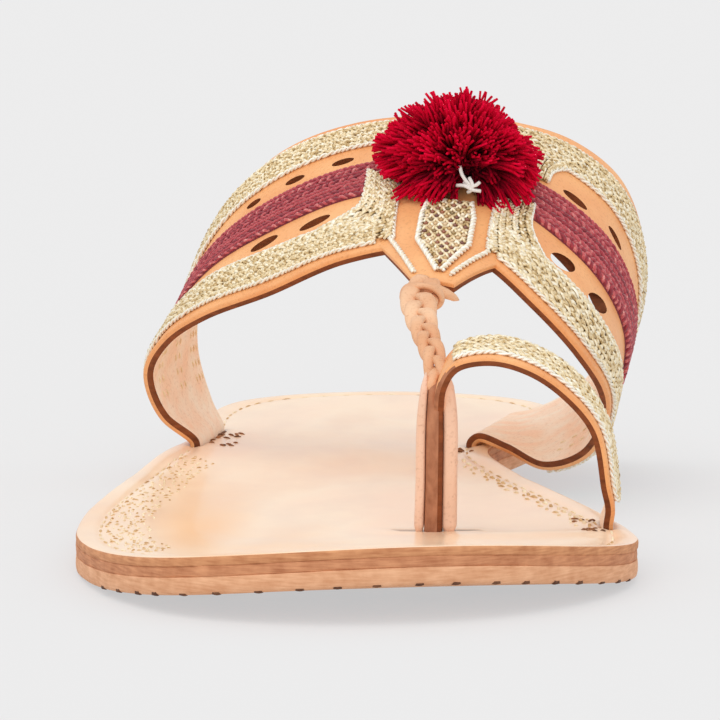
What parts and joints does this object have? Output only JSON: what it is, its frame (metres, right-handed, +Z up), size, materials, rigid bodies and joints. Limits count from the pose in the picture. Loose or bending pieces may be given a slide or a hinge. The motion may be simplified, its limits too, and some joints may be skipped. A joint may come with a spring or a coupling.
{
  "type": "kolhapuri sandal",
  "caption": "Flat leather toe-loop sandal for the right foot: broad curved instep band with gold braid, maroon stripe and pompom, plaited thong, toe post and big-toe loop.",
  "frame": {"origin": "bottom centre of the sandal's box, on the floor", "axes": "+Z up, +Y from toe to heel, +X towards the big toe's side"},
  "size_m": [0.0942, 0.2496, 0.073],
  "materials": {
    "sole_leather": "raw cut edge, matt",
    "filler_leather": "raw cut edge, matt",
    "insole_leather": "burnished, glossy",
    "band_leather": "satin vegetable-tanned",
    "anchor_leather": "matt",
    "gold_braid": "metallic thread",
    "maroon_weave": "woven, matt",
    "bead_motif": "beaded thread",
    "crimson_yarn": "cut pile"
  },
  "bodies": {
    "root": {"outsole": "sole_leather", "midsole": "filler_leather", "insole": "insole_leather", "upper": "band_leather", "thong_patch": "anchor_leather", "back_braid": "gold_braid", "lateral_braid": "gold_braid", "medial_braid": "gold_braid", "loop_braid": "gold_braid", "lateral_stripe": "maroon_weave", "medial_stripe": "maroon_weave", "tab_motif": "bead_motif", "pompom": "crimson_yarn"}
  },
  "joints": []
}
